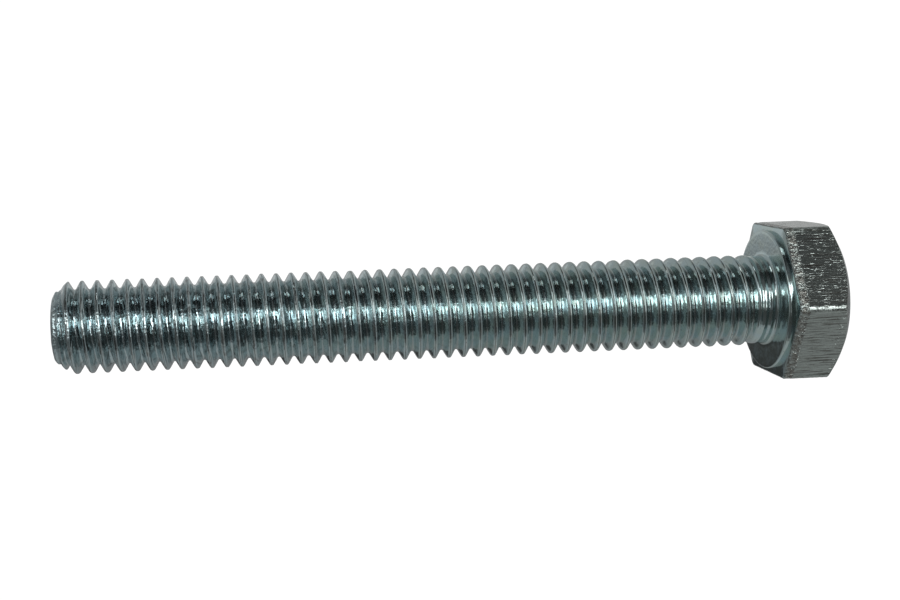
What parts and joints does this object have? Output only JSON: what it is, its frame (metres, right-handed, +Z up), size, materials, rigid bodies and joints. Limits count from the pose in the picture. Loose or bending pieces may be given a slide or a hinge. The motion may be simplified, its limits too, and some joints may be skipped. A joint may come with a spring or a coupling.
{
  "type": "hex bolt",
  "caption": "Fully threaded hexagon head bolt with a raised washer face and a chamfered point, zinc plated, for clamping parts with a nut or a tapped hole.",
  "frame": {"origin": "centre of the head's flat outer face, on the bolt's axis", "axes": "+X along the bolt's axis, out of the head; the threaded point is at -X. One flat of the hexagon faces -Z, so the bolt lies on it, and +Z is up. +Y completes the right-handed frame and runs through two corners of the hexagon"},
  "size_m": [0.0655, 0.0144, 0.0128],
  "materials": {
    "zinc_plated_steel": "bright bluish zinc plate over rolled and forged steel"
  },
  "bodies": {
    "root": {"hex_bolt": "zinc_plated_steel"}
  },
  "joints": []
}
